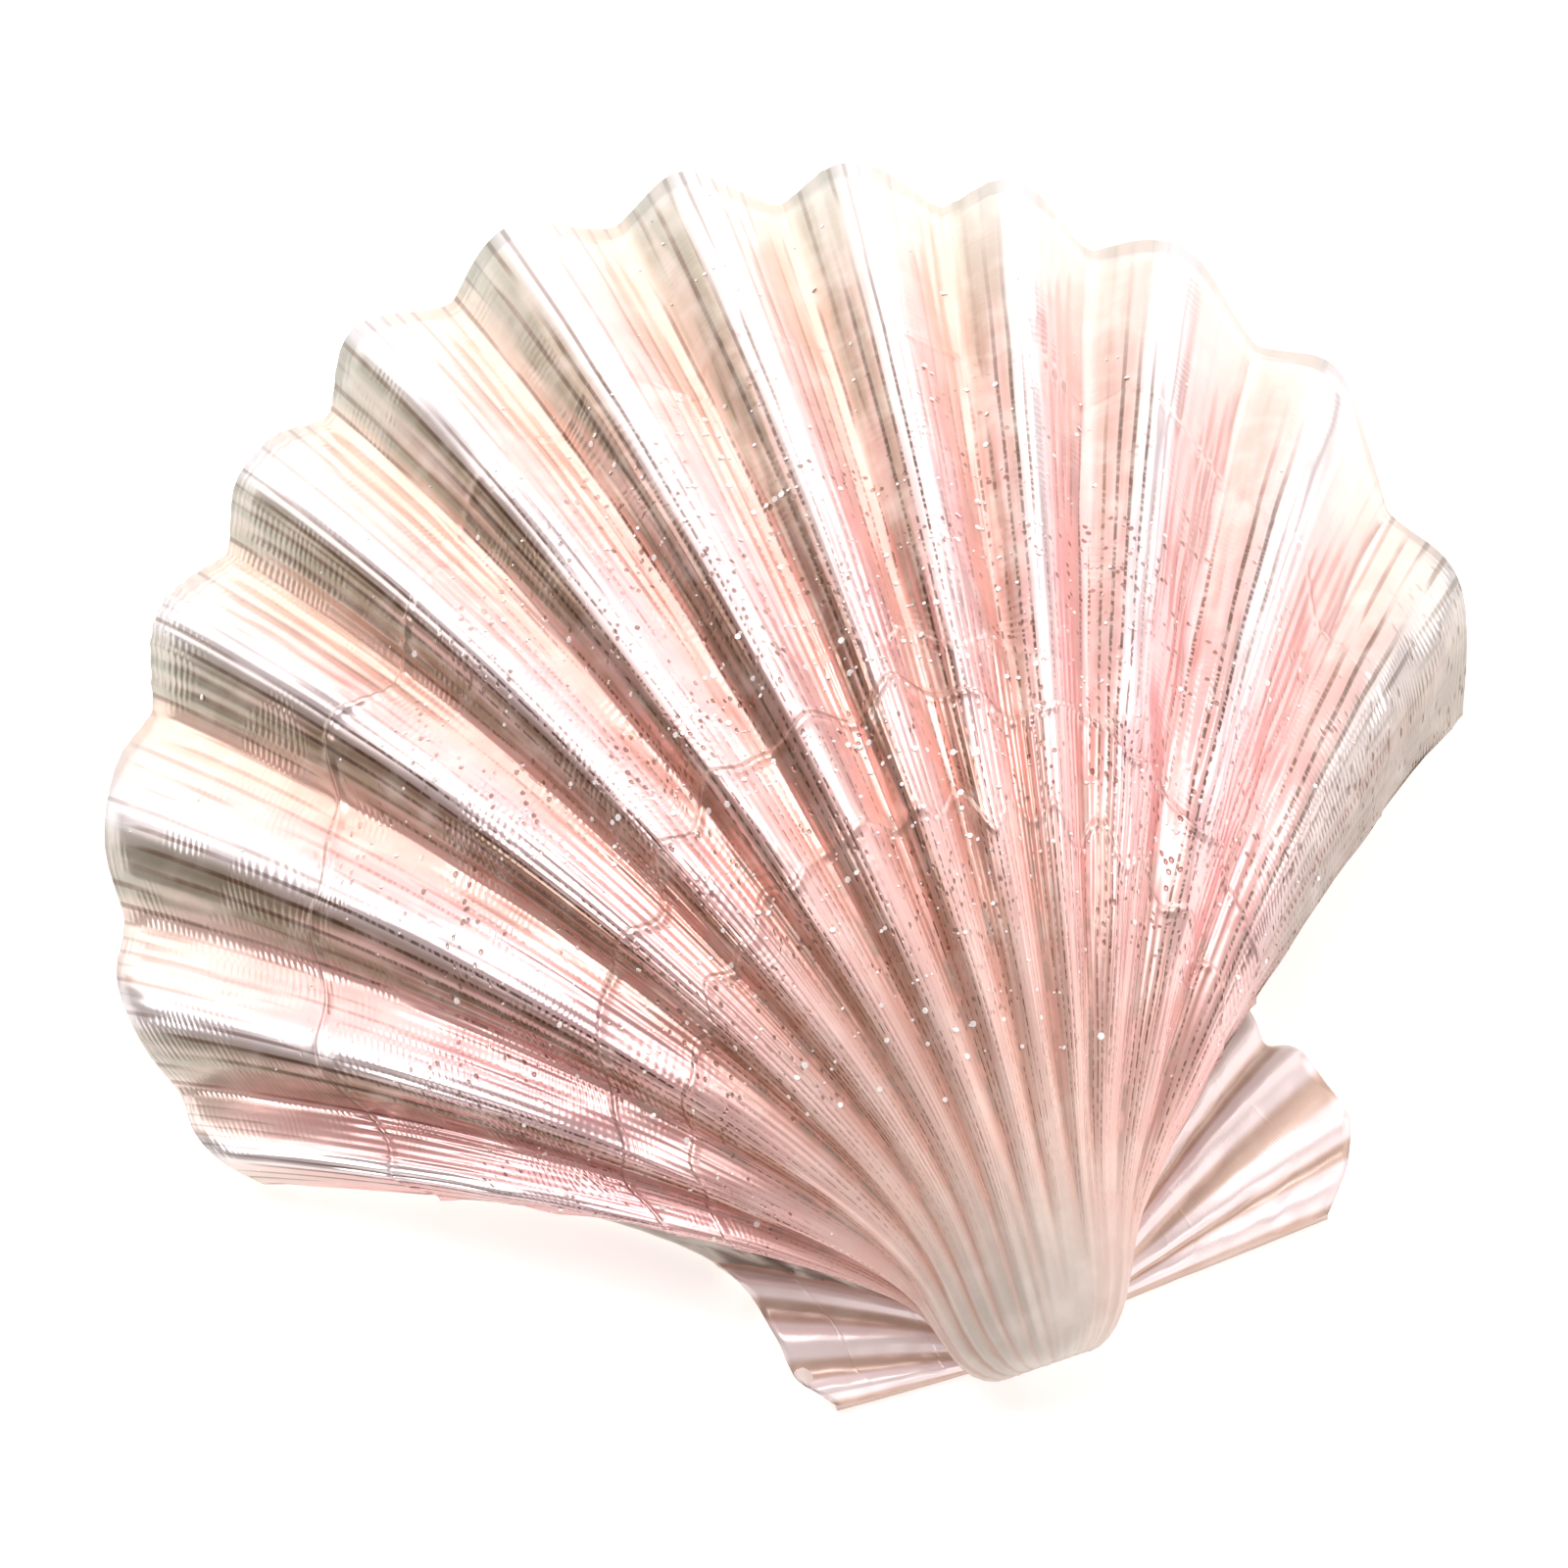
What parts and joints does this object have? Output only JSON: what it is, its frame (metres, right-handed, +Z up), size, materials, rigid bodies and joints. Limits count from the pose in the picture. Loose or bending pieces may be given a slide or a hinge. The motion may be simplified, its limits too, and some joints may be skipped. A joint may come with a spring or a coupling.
{
  "type": "scallop shell valve",
  "caption": "Domed fan-shaped scallop valve with broad rounded ribs, two ears and a beak, hollow underneath, lying on its open side.",
  "frame": {"origin": "bottom centre of the bounding box, on the surface that the open side rests on", "axes": "+X along the straight hinge line towards the larger ear, +Y from the beak to the middle of the fan margin, +Z up out of the dome"},
  "size_m": [0.1508, 0.15, 0.0316],
  "materials": {
    "pearl_shell": "calcium carbonate shell with a pink and silver pearl lacquer, satin gloss, with some glitter flecks"
  },
  "bodies": {
    "root": {"scallop_valve": "pearl_shell"}
  },
  "joints": []
}
